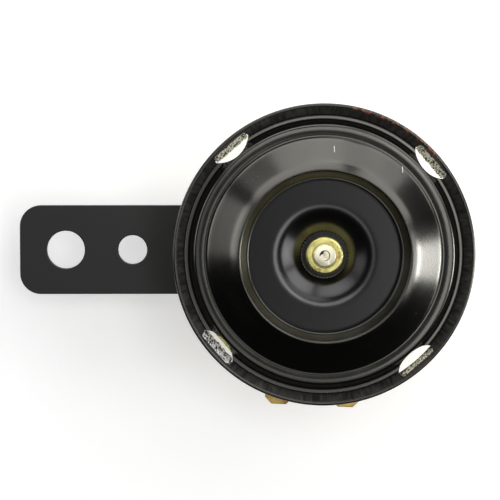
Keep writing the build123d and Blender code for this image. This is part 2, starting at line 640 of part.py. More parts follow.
def inner_insulator():
    return insulating_plate(
        INNER_INSULATOR_MARGIN,
        INNER_INSULATOR_LENGTH,
        INNER_INSULATOR_CORNER,
        HOUSING_FLOOR,
        INNER_INSULATOR_FRONT,
    )


def terminal_rivets():
    head = TERMINAL_RIVET_HEAD_HEIGHT
    inner = TERMINAL_RIVET_INNER_HEAD_RADIUS
    return [
        disc(TERMINAL_RIVET_RADIUS, TERMINAL_REAR, INNER_INSULATOR_FRONT, spot.X, spot.Y)
        + disc(TERMINAL_RIVET_HEAD_RADIUS, TERMINAL_REAR - head, TERMINAL_REAR, spot.X, spot.Y)
        + disc(inner, INNER_INSULATOR_FRONT, INNER_INSULATOR_FRONT + head, spot.X, spot.Y)
        for spot in terminal_positions()
    ]


# ---- leads: right terminal to coil, coil to fixed leaf, moving leaf to left terminal ----
def coil_leads():
    left, right = terminal_positions()
    rivet_reach = math.hypot(right.X, right.Y)
    right_angle = math.degrees(math.atan2(right.Y, right.X))
    on_rivet = INNER_INSULATOR_FRONT + TERMINAL_RIVET_HEAD_HEIGHT + LEAD_RADIUS
    beside_coil = (HOUSING_FLOOR + BOBBIN_TOP) / 2
    fixed_leaf_middle = FIXED_LEAF_REAR + FIXED_LEAF_THICKNESS / 2
    moving_leaf_middle = MOVING_LEAF_REAR + MOVING_LEAF_THICKNESS / 2
    leaf_side = LEAF_ROOT_WIDTH / 2
    leaf_reach = (BREAKER_INNER_REACH + BREAKER_OUTER_REACH) / 2
    to_terminal = lead([
        spoke(right_angle, rivet_reach, on_rivet),
        spoke(right_angle, rivet_reach - LEAD_LANDING, on_rivet),
        spoke(right_angle, WINDING_RADIUS + LEAD_LANDING, beside_coil),
        spoke(right_angle, WINDING_RADIUS, beside_coil),
    ])
    to_fixed_leaf = lead([
        spoke(COIL_LEAD_ANGLE, WINDING_RADIUS, beside_coil),
        spoke(COIL_LEAD_ANGLE, WINDING_RADIUS + 2 * LEAD_LANDING, beside_coil),
        (leaf_side + 2 * LEAD_LANDING, leaf_reach, fixed_leaf_middle),
        (leaf_side, leaf_reach, fixed_leaf_middle),
    ])
    climb = (moving_leaf_middle - on_rivet) / (len(LEAD_ROUTE_ANGLES) + 1)
    route = [
        spoke(angle, LEAD_ROUTE_RADIUS, on_rivet + climb * (step + 1))
        for step, angle in enumerate(LEAD_ROUTE_ANGLES)
    ]
    to_moving_leaf = lead([
        (left.X, left.Y, on_rivet),
        *route,
        (-leaf_side - LEAD_LANDING, leaf_reach, moving_leaf_middle),
        (-leaf_side, leaf_reach, moving_leaf_middle),
    ])
    return [to_terminal, to_fixed_leaf, to_moving_leaf]


NODES = {
    "bracket": bracket(),
    "spring_washer": spring_washer(),
    "bracket_nut": hex_nut(
        NUT_ACROSS_FLATS,
        SHANK_RADIUS,
        -SPRING_WASHER_THICKNESS - BRACKET_NUT_HEIGHT,
        -SPRING_WASHER_THICKNESS,
        NUT_CHAMFER,
    ),
    "core_nut": hex_nut(NUT_ACROSS_FLATS, SHANK_RADIUS, BRACKET_THICKNESS, HOUSING_REAR, NUT_CHAMFER),
    "housing": housing(),
    "rear_gasket": flat_ring(GASKET_INNER_RADIUS, STACK_RADIUS, FLANGE_FRONT, DIAPHRAGM_REAR),
    "diaphragm": flat_ring(
        STUD_RADIUS + STUD_HOLE_CLEARANCE, STACK_RADIUS, DIAPHRAGM_REAR, DIAPHRAGM_FRONT
    ),
    "front_gasket": flat_ring(
        GASKET_INNER_RADIUS, STACK_RADIUS, DIAPHRAGM_FRONT, DIAPHRAGM_FRONT + FRONT_GASKET_THICKNESS
    ),
    "front_bell": front_bell(),
    "tone_disc": tone_disc(),
    "lock_washer": lock_washer(),
    "centre_nut": centre_nut(),
    "armature": armature(),
    "pole_core": pole_core(),
    "coil_bobbin": coil_bobbin(),
    "coil_winding": coil_winding(),
    "breaker_bracket": breaker_bracket(),
    "lower_insulator": insulator(BREAKER_SHELF, MOVING_LEAF_REAR),
    "moving_leaf": leaf(MOVING_LEAF_REACH, MOVING_LEAF_REAR, MOVING_LEAF_FRONT),
    "moving_contact": disc(
        CONTACT_RADIUS, MOVING_LEAF_FRONT, MOVING_LEAF_FRONT + CONTACT_HEIGHT, 0, CONTACT_REACH
    ),
    "middle_insulator": insulator(MOVING_LEAF_FRONT, FIXED_LEAF_REAR),
    "fixed_contact": disc(
        CONTACT_RADIUS, FIXED_LEAF_REAR - CONTACT_HEIGHT, FIXED_LEAF_REAR, 0, CONTACT_REACH
    ),
    "fixed_leaf": leaf(FIXED_LEAF_REACH, FIXED_LEAF_REAR, FIXED_LEAF_FRONT),
    "upper_insulator": insulator(FIXED_LEAF_FRONT, BREAKER_TOP),
    "breaker_rivets": breaker_rivets(),
    "adjusting_screw": adjusting_screw(),
    "adjuster_bush": adjuster_bush(),
    "adjuster_lock_nut": hex_nut(
        ADJUSTER_NUT_ACROSS_FLATS,
        ADJUSTER_RADIUS,
        ADJUSTER_NUT_FRONT - ADJUSTER_NUT_HEIGHT,
        ADJUSTER_NUT_FRONT,
        NUT_CHAMFER / 2,
        0,
        ADJUSTER_REACH,
    ),
    "terminal_left": terminal(-1),
    "terminal_right": terminal(1),
    "terminal_insulator": terminal_insulator(),
    "inner_insulator": inner_insulator(),
    "terminal_rivets": terminal_rivets(),
    "coil_leads": coil_leads(),
}

for name, shape in NODES.items():
    save(name, shape)
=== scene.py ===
import functools
import math

import bmesh
import bpy
import numpy as np
from mathutils import Matrix, Vector


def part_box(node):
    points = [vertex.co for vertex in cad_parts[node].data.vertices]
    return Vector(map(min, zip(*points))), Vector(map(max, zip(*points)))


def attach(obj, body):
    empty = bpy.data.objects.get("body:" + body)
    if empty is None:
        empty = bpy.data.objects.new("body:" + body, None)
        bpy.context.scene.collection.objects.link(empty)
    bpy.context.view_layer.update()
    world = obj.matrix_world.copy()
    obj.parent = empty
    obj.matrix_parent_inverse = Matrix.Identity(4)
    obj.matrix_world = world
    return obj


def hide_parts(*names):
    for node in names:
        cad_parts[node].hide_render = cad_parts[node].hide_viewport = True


# An electric disc horn for a vehicle: a black pressed bell whose rim is folded round a zinc-plated
# housing, with the magnet, the contact breaker and the diaphragm between them, on a flat steel bracket.
# The sound axis points forward, along -Y. A profile point is (distance from it, distance forward), in mm.
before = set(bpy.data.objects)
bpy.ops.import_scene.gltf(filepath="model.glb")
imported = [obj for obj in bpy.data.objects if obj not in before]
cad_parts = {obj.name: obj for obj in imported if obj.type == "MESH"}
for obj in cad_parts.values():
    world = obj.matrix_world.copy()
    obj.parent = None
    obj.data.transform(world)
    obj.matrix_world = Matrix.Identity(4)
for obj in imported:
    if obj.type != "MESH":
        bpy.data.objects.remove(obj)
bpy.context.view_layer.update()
MM = 0.001
AXIS_X = 57.0


def forward(node):
    """The rear and front stations of a CAD node along the sound axis, in mm."""
    low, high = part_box(node)
    return -high.y / MM, -low.y / MM


# ---- housing ----
# A deep cup drawn from 1 mm steel, with a flange that the bell's rim is folded round and a notch
# behind each of the bell's four windows. It is zinc plated and passivated yellow, which makes it a
# pale brassy metal with faint green patches.
def linear(colour):
    """The linear colour of an sRGB hex value."""
    parts = [int(colour[i : i + 2], 16) / 255 for i in (1, 3, 5)]
    return [p / 12.92 if p <= 0.04045 else ((p + 0.055) / 1.055) ** 2.4 for p in parts] + [1.0]


def join(material, value, socket):
    """Link a node, or one of its outputs, to a socket, or set the socket to a plain value."""
    if isinstance(value, bpy.types.Node):
        value = value.outputs[0]
    if isinstance(value, bpy.types.NodeSocket):
        material.node_tree.links.new(value, socket)
    else:
        socket.default_value = value


def add(material, kind, sockets=None, stops=(), **settings):
    """Add one node: its sockets take plain values or other nodes, its stops the colours of a ramp."""
    node = material.node_tree.nodes.new(kind)
    for name, value in settings.items():
        setattr(node, name, value)
    for name, value in (sockets or {}).items():
        join(material, value, node.inputs[name])
    for index, (position, colour) in enumerate(stops):
        ramp = node.color_ramp.elements
        stop = ramp[index] if index < 2 else ramp.new(position)
        stop.position = position
        stop.color = linear(colour)
    return node


def grain(material, size_mm, detail=2.0, stretch=(1, 1, 1)):
    """A noise with lumps of size_mm, which are longer along an axis where stretch is under 1."""
    place = material.node_tree.nodes["Texture Coordinate"].outputs["Object"]
    spread = add(material, "ShaderNodeMapping", {"Vector": place, "Scale": stretch})
    scale = 1 / (2 * size_mm * MM)
    return add(material, "ShaderNodeTexNoise", {"Vector": spread, "Scale": scale, "Detail": detail})


def feed(material, socket, value):
    """Give a node to one of the sockets of a finish's surface."""
    join(material, value, material.node_tree.nodes["Principled BSDF"].inputs[socket])


def finish(name, colour, metallic, roughness, lump_mm=None, depth_mm=None, stretch=(1, 1, 1), **sockets):
    """A new material, whose surface stands up by depth_mm in lumps of lump_mm where these are given."""
    material = bpy.data.materials.new(name)
    material.use_nodes = True
    plain = {"Base Color": linear(colour), "Metallic": metallic, "Roughness": roughness}
    for socket, value in (plain | sockets).items():
        feed(material, socket.replace("_", " "), value)
    add(material, "ShaderNodeTexCoord")
    if lump_mm:
        lumps = {"Height": grain(material, lump_mm, 2.0, stretch), "Distance": depth_mm * MM}
        feed(material, "Normal", add(material, "ShaderNodeBump", lumps))
    return material


def rounded(points, bends, step):
    """A path of straight runs whose corners are arcs. Each arc begins and ends its bend times the
    tangent of half the turn from its corner; runs are cut every step and arcs every 4 degrees."""
    corners = np.array(points, float)
    runs = np.diff(corners, axis=0)
    along = runs / np.hypot(runs[:, 0], runs[:, 1])[:, None]
    left = np.stack([-along[:, 1], along[:, 0]], axis=1)
    turn = np.arctan2((left[:-1] * along[1:]).sum(1), (along[:-1] * along[1:]).sum(1))
    trim = np.array(bends) * np.tan(np.abs(turn) / 2)
    begin = corners[1:-1] - along[:-1] * trim[:, None]
    end = corners[1:-1] + along[1:] * trim[:, None]
    path = []
    here = corners[0]
    for corner, bend in enumerate(bends):
        count = max(1, round(np.hypot(*(begin[corner] - here)) / step))
        path.append(here + (begin[corner] - here) * np.arange(count)[:, None] / count)
        count = max(4, math.ceil(abs(turn[corner]) / math.radians(4)))
        angle = turn[corner] * np.arange(count)[:, None] / count
        side = np.sign(turn[corner]) * bend
        path.append(
            begin[corner] + left[corner] * side * (1 - np.cos(angle))
            + along[corner] * abs(side) * np.sin(np.abs(angle))
        )
        here = end[corner]
    count = max(1, round(np.hypot(*(corners[-1] - here)) / step))
    path.append(here + (corners[-1] - here) * np.arange(count + 1)[:, None] / count)
    return np.concatenate(path)


def far_face(points, bends, wall):
    """The other face of a sheet: runs moved to the right by the wall, with mitred corners."""
    corners = np.array(points, float)
    runs = np.diff(corners, axis=0)
    along = runs / np.hypot(runs[:, 0], runs[:, 1])[:, None]
    right = np.stack([along[:, 1], -along[:, 0]], axis=1)
    shared = (right[:-1] + right[1:]) / (1 + (right[:-1] * right[1:]).sum(1))[:, None]
    moved = np.concatenate([right[:1], shared, right[-1:]]) * wall + corners
    turn = along[:-1, 0] * along[1:, 1] - along[:-1, 1] * along[1:, 0]
    return moved, np.array(bends) + np.where(turn > 0, wall, -wall)


def sheet_profile(points, bends, wall, step=0.7):
    """The closed outline of a bent sheet, down one face and back up the other."""
    near = rounded(points, bends, step)
    far = rounded(*far_face(points, bends, wall), step)
    return np.concatenate([near, far[::-1], near[:1]])


def grid_faces(rows, columns):
    """Quads between neighbouring rows and columns; the last column joins the first."""
    corner = np.arange(rows - 1)[:, None] * columns + np.arange(columns)[None, :]
    beside = np.roll(corner, -1, axis=1)
    return np.stack([corner, beside, beside + columns, corner + columns], axis=2).reshape(-1, 4)


def lathe_points(profile, count):
    """Each profile point goes once round the sound axis in count places."""
    angle = 2 * np.pi * np.arange(count) / count
    distance, station = profile[:, :1], profile[:, 1:]
    return np.stack([distance * np.cos(angle), distance * np.sin(angle), station + 0 * angle], axis=2)


def stand_up(points):
    """Bench points (right, up, forward) in mm, put in the frame of the finished part in metres."""
    flat = points.reshape(-1, 3)
    return np.stack([flat[:, 0] + AXIS_X, -flat[:, 2], flat[:, 1]], axis=1) * MM


def show(name, data):
    """Put a mesh, lamp or camera in the scene as an object."""
    holder = bpy.data.objects.new(name, data)
    bpy.context.scene.collection.objects.link(holder)
    return holder


SHARP_DEGREES = 32
DOUBLES = 0.0005


def new_mesh(name, points, faces, material, sharp_degrees=SHARP_DEGREES):
    """A closed mesh in metres: doubles merged, faces outward, smooth up to an edge angle."""
    mesh = bpy.data.meshes.new(name)
    mesh.from_pydata(points.tolist(), [], faces if isinstance(faces, list) else faces.tolist())
    work = bmesh.new()
    work.from_mesh(mesh)
    bmesh.ops.remove_doubles(work, verts=work.verts, dist=DOUBLES * MM)
    bmesh.ops.recalc_face_normals(work, faces=work.faces)
    work.to_mesh(mesh)
    work.free()
    mesh.shade_smooth()
    mesh.set_sharp_from_angle(angle=math.radians(sharp_degrees))
    mesh.materials.append(material)
    return show(name, mesh)


def lathe(name, profile, material, count=180):
    """A piece turned from a closed profile, or from one that starts and ends on the sound axis."""
    rings = lathe_points(np.array(profile, float), count)
    return new_mesh(name, stand_up(rings), grid_faces(len(rings), count), material)


def cut(piece, tool):
    """Take the tool's volume out of the piece; the new faces keep the tool's material."""
    knife = piece.modifiers.new("cut", "BOOLEAN")
    knife.object = tool
    knife.operation = "DIFFERENCE"
    knife.solver = "EXACT"
    knife.material_mode = "TRANSFER"
    bpy.context.view_layer.update()
    made = bpy.data.meshes.new_from_object(piece.evaluated_get(bpy.context.evaluated_depsgraph_get()))
    piece.modifiers.clear()
    piece.data = made
    made.shade_smooth()
    made.set_sharp_from_angle(angle=math.radians(SHARP_DEGREES))
    bpy.data.objects.remove(tool)


def prism(name, outline, rear, front, material):
    """A closed bar with a flat outline of (right, up) points between two stations."""
    points = np.concatenate([np.insert(outline, 2, station, axis=1) for station in (rear, front)])
    count = len(outline)
    sides = grid_faces(2, count).tolist()
    caps = [list(range(count))[::-1], list(range(count, 2 * count))]
    mesh = bpy.data.meshes.new(name)
    mesh.from_pydata(stand_up(points).tolist(), [], sides + caps)
    mesh.materials.append(material)
    work = bmesh.new()
    work.from_mesh(mesh)
    bmesh.ops.recalc_face_normals(work, faces=work.faces)
    work.to_mesh(mesh)
    work.free()
    return show(name, mesh)


def turned_by(outline, degrees):
    """The same outline turned about the sound axis."""
    angle = math.radians(degrees)
    turn = np.array([[math.cos(angle), math.sin(angle)], [-math.sin(angle), math.cos(angle)]])
    return outline @ turn


def circle(radius, count, across=0.0, up=0.0):
    """Points round a circle."""
    angle = 2 * np.pi * np.arange(count) / count
    return np.stack([across + radius * np.cos(angle), up + radius * np.sin(angle)], axis=1)


def settle(piece, body, slot, *nodes):
    """Let a piece ride on its body and stand for its CAD nodes."""
    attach(piece, body)
    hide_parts(*nodes)


def ramped(material, lump_mm, stops):
    """The surface's colour, taken from a ramp by lumps of lump_mm."""
    patches = {"Fac": grain(material, lump_mm)}
    feed(material, "Base Color", add(material, "ShaderNodeValToRGB", patches, stops))


# The film's thickness varies, so its colour drifts from brass to green, and it shines unevenly.
yellow_zinc = finish("yellow_passivated_zinc", "#e6d48a", 1.0, 0.3, 0.12, 0.004)
FILM_PATCH = 1.6
FILM_COLOURS = [(0.36, "#e0d682"), (0.64, "#efe292"), (0.46, "#ead990"), (0.55, "#dcdc8e")]
SMEAR_SIZE = 0.8
SMEAR_NOISE = (0.3, 0.7)
SMEAR_ROUGHNESS = (0.22, 0.4)


def spread_over(value, noise_range, out_range=(0.0, 1.0)):
    """The sockets that carry a value from one range to another, held at its ends."""
    ends = zip(("From Min", "From Max", "To Min", "To Max"), noise_range + out_range)
    return {"Value": value} | dict(ends)


ramped(yellow_zinc, FILM_PATCH, FILM_COLOURS)
smear = spread_over(grain(yellow_zinc, SMEAR_SIZE), SMEAR_NOISE, SMEAR_ROUGHNESS)
feed(yellow_zinc, "Roughness", add(yellow_zinc, "ShaderNodeMapRange", smear))

WINDOW_ANGLES = (41.0, 131.0, 221.0, 311.0)
WINDOW_LENGTH = 9.0
HOUSING_WALL = 1.0
HOUSING_REAR, FLANGE_FRONT = forward("housing")
HOUSING_FLOOR = HOUSING_REAR + HOUSING_WALL
FLANGE_REAR = FLANGE_FRONT - HOUSING_WALL
SHANK_HOLE = 4.2
HOUSING_REAR_RADIUS = 24.2
HOUSING_MOUTH_RADIUS = 25.0
FLANGE_RADIUS = 31.35
HOUSING_BENDS = (3.0, 1.0)
HOUSING_STEP = 1.5
HOUSING_COLUMNS = 288
NOTCH_DEPTHS = (3.35, 3.35, 2.4, 2.8)
NOTCH_CLEARANCE = 0.6
NOTCH_HALF = WINDOW_LENGTH / 2 + NOTCH_CLEARANCE
ADJUSTER_REACH = 16.6
ADJUSTER_HOLE = 2.7
TERMINAL_TURN = -2.8
TERMINAL_SPREAD = 15.0
TERMINAL_REACH = 16.3
TERMINAL_HOLE = 2.7
HOLE_SIDES = 40
KNIFE_PAST = 1.0
cup_face = [
    (SHANK_HOLE, HOUSING_REAR),
    (HOUSING_REAR_RADIUS, HOUSING_REAR),
    (HOUSING_MOUTH_RADIUS, FLANGE_REAR),
    (FLANGE_RADIUS, FLANGE_REAR),
]
cup_profile = sheet_profile(cup_face, HOUSING_BENDS, -HOUSING_WALL, HOUSING_STEP)
housing = lathe("drawn_housing", cup_profile, yellow_zinc, HOUSING_COLUMNS)
for window_angle, depth in zip(WINDOW_ANGLES, NOTCH_DEPTHS):
    notch_floor = FLANGE_RADIUS - depth
    notch_open = FLANGE_RADIUS + KNIFE_PAST
    notch = np.array([
        (-NOTCH_HALF, notch_floor), (NOTCH_HALF, notch_floor),
        (NOTCH_HALF, notch_open), (-NOTCH_HALF, notch_open),
    ])
    outline = turned_by(notch, window_angle - 90)
    cut(housing, prism("notch", outline, FLANGE_REAR - KNIFE_PAST, FLANGE_FRONT + KNIFE_PAST, yellow_zinc))
holes = [circle(ADJUSTER_HOLE, HOLE_SIDES, 0, ADJUSTER_REACH)]
for side in (-1, 1):
    rivet_hole = circle(TERMINAL_HOLE, HOLE_SIDES, side * TERMINAL_SPREAD / 2, -TERMINAL_REACH)
    holes.append(turned_by(rivet_hole, TERMINAL_TURN))
for outline in holes:
    cut(housing, prism("hole", outline, HOUSING_REAR - KNIFE_PAST, HOUSING_FLOOR + KNIFE_PAST, yellow_zinc))
settle(housing, "body", "yellow_zinc", "housing")

# ---- magnet: pole core, its threaded shank, the bobbin and the winding ----
# The core is turned from mild steel and phosphated, and its shank has a zinc-plated M8 thread. The
# bobbin is moulded nylon and holds layers of enamelled copper wire, wound side by side.
# Phosphate leaves the steel almost black and quite matt.
black_steel = finish("phosphated_steel", "#232325", 0.4, 0.5, 0.12, 0.006)
# Nylon lets a little light in, which softens its edges.
nylon = finish("moulded_nylon", "#d8d2c0", 0.0, 0.42, 0.4, 0.01, Subsurface_Weight=0.1)
# The clear enamel leaves the wire its copper red and makes it shine.
copper = finish("enamelled_copper_wire", "#b8653c", 1.0, 0.28, 0.2, 0.004)
POLE_RADIUS = 7.0
POLE_CHAMFER = 0.3
POLE_COLUMNS = 96
SHANK_RADIUS = 3.95
SHANK_CHAMFER = 0.8
SHANK_PITCH = 1.25
SHANK_THREAD_DEPTH = 0.6
SHANK_SHARP_DEGREES = 50
THREAD_FLAT = 0.125
THREAD_ROWS = 8
THREAD_COLUMNS = 72


def threaded(outer, root, pitch, rear, front, chamfer):
    """A threaded bar: its radius falls from outer to root as a triangle wave of the forward distance
    less one pitch for each turn, with flat crests and roots, and a cone cuts it at each end."""
    rows = int((front - rear) / pitch * THREAD_ROWS)
    station = np.linspace(rear, front, rows)[:, None]
    angle = 2 * np.pi * np.arange(THREAD_COLUMNS)[None, :] / THREAD_COLUMNS
    phase = (station / pitch - angle / (2 * np.pi)) % 1.0
    wave = np.clip(np.abs(2 * phase - 1) * (1 + 2 * THREAD_FLAT) - THREAD_FLAT, 0, 1)
    nearest_end = np.minimum(station - rear, front - station)
    radius = np.minimum(outer - (outer - root) * wave, outer - chamfer + nearest_end)
    ring = np.stack([radius * np.cos(angle), radius * np.sin(angle), station + 0 * angle], axis=2)
    cap = np.zeros((1, THREAD_COLUMNS, 3))
    return np.concatenate([cap + [0, 0, rear], ring, cap + [0, 0, front]])


shank_rear, pole_face = forward("pole_core")
core_profile = [
    (0, pole_face),
    (POLE_RADIUS - POLE_CHAMFER, pole_face),
    (POLE_RADIUS, pole_face - POLE_CHAMFER),
    (POLE_RADIUS, HOUSING_FLOOR),
    (SHANK_RADIUS, HOUSING_FLOOR),
    (SHANK_RADIUS, HOUSING_REAR),
    (0, HOUSING_REAR),
]
core = lathe("pole_core_head", core_profile, black_steel, POLE_COLUMNS)
settle(core, "body", "bright_steel", "pole_core")
shank_root = SHANK_RADIUS - SHANK_THREAD_DEPTH
shank_points = threaded(SHANK_RADIUS, shank_root, SHANK_PITCH, shank_rear, HOUSING_REAR, SHANK_CHAMFER)
shank_faces = grid_faces(len(shank_points), THREAD_COLUMNS)
shank = new_mesh("threaded_shank", stand_up(shank_points), shank_faces, yellow_zinc, SHANK_SHARP_DEGREES)
settle(shank, "body", "yellow_zinc", "pole_core")

WIRE_RADIUS = 0.3
WIRE_ROWS = 8
BOBBIN_TUBE = 7.9
WINDING_RADIUS = 13.1
WINDING_COLUMNS = 120
winding_rear, winding_front = forward("coil_winding")
wires = round((winding_front - winding_rear) / (2 * WIRE_RADIUS))
lay = np.linspace(0, wires, wires * WIRE_ROWS + 1)
bulge = WINDING_RADIUS - WIRE_RADIUS * (1 - np.abs(np.sin(np.pi * lay)))
wire_station = winding_rear + (winding_front - winding_rear) * lay / wires
wound = np.concatenate([
    [(BOBBIN_TUBE, winding_rear)],
    np.stack([bulge, wire_station], axis=1),
    [(BOBBIN_TUBE, winding_front), (BOBBIN_TUBE, winding_rear)],
])
settle(lathe("wound_coil", wound, copper, WINDING_COLUMNS), "body", "copper_wire", "coil_winding")


def paint(material, *nodes):
    """Give CAD nodes a finish through their material slots."""
    for name in nodes:
        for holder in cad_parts[name].material_slots:
            holder.material = material


paint(nylon, "coil_bobbin")
paint(copper, "coil_leads")

# ---- clamped stack and contact breaker ----
# The diaphragm is spring steel between two fibre gaskets. The breaker is a stack of brass leaves and
# phenolic board on a steel bracket, riveted through, with tungsten contacts on the leaves.
# Heat has left the steel a dull blue-grey.
spring_steel = finish("blued_spring_steel", "#7f8186", 1.0, 0.34, 0.1, 0.004)
# Pressed fibre is matt and slightly furry.
gasket = finish("pressed_gasket_fibre", "#b9b199", 0.0, 0.9, 0.15, 0.02)
# Resin-soaked paper shows as a brown board with long flecks.
phenolic = finish("phenolic_paper_board", "#6b3f22", 0.0, 0.48, 0.3, 0.01, (1, 1, 4))
# Sintered tungsten is a plain grey metal.
contact_metal = finish("sintered_tungsten", "#b4b3b0", 1.0, 0.34, 0.05, 0.004)
# Rolling leaves brass with fine lines, and handling darkens it in patches.
brass = finish("rolled_brass", "#b8974e", 1.0, 0.3, 0.08, 0.004, (6, 6, 1))
TARNISH_PATCH = 1.2
ramped(brass, TARNISH_PATCH, [(0.35, "#94743a"), (0.65, "#cbb06a")])
paint(gasket, "rear_gasket", "front_gasket")
paint(spring_steel, "diaphragm", "breaker_bracket")
paint(phenolic, "inner_insulator", "lower_insulator", "middle_insulator", "upper_insulator")
paint(brass, "moving_leaf", "fixed_leaf", "breaker_rivets")
paint(contact_metal, "moving_contact", "fixed_contact")

# ---- nuts, washers, adjuster and terminals ----
# These keep the shape that the model gives them. Stamping and turning leave their corners slightly
# round, so each is a copy of its node with its flat faces joined and its corners eased.
# Turning leaves fine lines round the adjuster's bright steel.
bright_steel = finish("turned_bright_steel", "#c6c5c0", 1.0, 0.26, 0.1, 0.004, (1, 6, 1))
NODE_DOUBLES = 0.001
FLAT_DEGREES = 0.5
EASE_DEGREES = 35
EASE_SEGMENTS = 2
NUT_EASE = 0.12
ADJUSTER_EASE = 0.08
BLADE_EASE = 0.12
BOARD_EASE = 0.08
RIVET_EASE = 0.1
TOOTH_EASE = 0.06


def eased(node, material, body, slot, ease_mm):
    """A copy of a CAD node with merged flat faces and rounded edges."""
    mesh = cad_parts[node].data.copy()
    work = bmesh.new()
    work.from_mesh(mesh)
    bmesh.ops.remove_doubles(work, verts=work.verts, dist=NODE_DOUBLES * MM)
    flat = math.radians(FLAT_DEGREES)
    bmesh.ops.dissolve_limit(
        work, angle_limit=flat, verts=work.verts, edges=work.edges, delimit={"NORMAL"}
    )
    work.to_mesh(mesh)
    work.free()
    mesh.materials.clear()
    mesh.materials.append(material)
    mesh.shade_smooth()
    mesh.set_sharp_from_angle(angle=math.radians(SHARP_DEGREES))
    piece = show(node + "_eased", mesh)
    soften = piece.modifiers.new("ease", "BEVEL")
    soften.width = ease_mm * MM
    soften.segments = EASE_SEGMENTS
    soften.limit_method = "ANGLE"
    soften.angle_limit = math.radians(EASE_DEGREES)
    soften.harden_normals = True
    settle(piece, body, slot, node)
    return piece


eased("core_nut", yellow_zinc, "body", "yellow_zinc", NUT_EASE)
eased("bracket_nut", yellow_zinc, "body", "yellow_zinc", NUT_EASE)
eased("spring_washer", spring_steel, "body", "spring_steel", NUT_EASE)
eased("adjuster_lock_nut", yellow_zinc, "body", "yellow_zinc", ADJUSTER_EASE)
eased("adjuster_bush", bright_steel, "body", "bright_steel", ADJUSTER_EASE)
eased("adjusting_screw", bright_steel, "body", "bright_steel", ADJUSTER_EASE)
eased("terminal_insulator", phenolic, "body", "phenolic", BOARD_EASE)
eased("terminal_left", brass, "body", "terminal_brass", BLADE_EASE)
eased("terminal_right", brass, "body", "terminal_brass", BLADE_EASE)
eased("terminal_rivets", brass, "body", "terminal_brass", RIVET_EASE)
eased("lock_washer", black_steel, "vibrator", "spring_steel", TOOTH_EASE)

# ---- tone disc ----
# A pressed steel plate with a funnel in its middle and a rim turned back, held under the nut. It is
# dipped in thin black paint, which shines a little less than the bell and mirrors the nut softly.
black_dip = finish("black_dip_paint", "#030304", 0.0, 0.23, 0.7, 0.004, IOR=1.7)
TONE_SEAT = forward("lock_washer")[0]
TONE_TOP = forward("tone_disc")[1]
TONE_WALL = 0.8
TONE_HOLE_RADIUS = 2.55
TONE_SEAT_RADIUS = 5.0
TONE_FUNNEL_RADIUS = 10.0
TONE_RADIUS = 20.0
TONE_RIM_DROP = 1.6
TONE_BENDS = (0.6, 5.0, 1.2)
TONE_COLUMNS = 240
tone_face = [
    (TONE_HOLE_RADIUS, TONE_SEAT),
    (TONE_SEAT_RADIUS, TONE_SEAT),
    (TONE_FUNNEL_RADIUS, TONE_TOP),
    (TONE_RADIUS, TONE_TOP),
    (TONE_RADIUS, TONE_TOP - TONE_RIM_DROP),
]
tone_profile = sheet_profile(tone_face, TONE_BENDS, TONE_WALL)
tone_disc = lathe("tone_disc_pressing", tone_profile, black_dip, TONE_COLUMNS)
settle(tone_disc, "vibrator", "black_enamel", "tone_disc")

# ---- armature and collar nut ----
# The armature's stud comes forward through the tone disc and a turned round nut holds them together.
# A C-shaped mark is punched into the stud's end, so that the nut can't work loose.
# A thin, pale zinc flash leaves the stud lighter and duller than the nut.
pale_zinc = finish("pale_zinc_flash", "#f8f2d8", 1.0, 0.5, 0.15, 0.006)
STUD_RADIUS = 2.5
STUD_EASE = 0.08
MARK_RADIUS = 1.15
MARK_DEPTH = 0.4
MARK_TURN = (-100, 185)
MARK_POINTS = 60
MARK_WIDTH = 0.14
MARK_SWELL = 0.5
MARK_SWELL_AT = 135
MARK_SWELL_SPREAD = 30
stud_end = forward("armature")[1]
armature = eased("armature", pale_zinc, "vibrator", "bright_steel", STUD_EASE)
mark_turn = np.linspace(*MARK_TURN, MARK_POINTS)
mark_swell = np.exp(-(((mark_turn - MARK_SWELL_AT) / MARK_SWELL_SPREAD) ** 2))
mark_width = MARK_WIDTH + MARK_SWELL * mark_swell
mark_way = np.stack([np.cos(np.radians(mark_turn)), np.sin(np.radians(mark_turn))], axis=1)
mark_inner = (mark_way * (MARK_RADIUS - mark_width)[:, None])[::-1]
mark_outline = np.concatenate([mark_way * MARK_RADIUS, mark_inner])
punch = prism("punch_mark", mark_outline, stud_end - MARK_DEPTH, stud_end + KNIFE_PAST, black_steel)
cut(armature, punch)

NUT_RADIUS = 4.05
NUT_LEAD_IN = 0.3
NUT_BENDS = (0.15, 0.55, 0.08, 0.08)
NUT_STEP = 0.8
NUT_COLUMNS = 120
nut_rear, nut_front = forward("centre_nut")
nut_outline = [
    (STUD_RADIUS, nut_rear),
    (NUT_RADIUS, nut_rear),
    (NUT_RADIUS, nut_front),
    (STUD_RADIUS + NUT_LEAD_IN, nut_front),
    (STUD_RADIUS, nut_front - NUT_LEAD_IN),
    (STUD_RADIUS, nut_rear),
]
nut = lathe("collar_nut", rounded(nut_outline, NUT_BENDS, NUT_STEP), yellow_zinc, NUT_COLUMNS)
settle(nut, "vibrator", "yellow_zinc", "centre_nut")

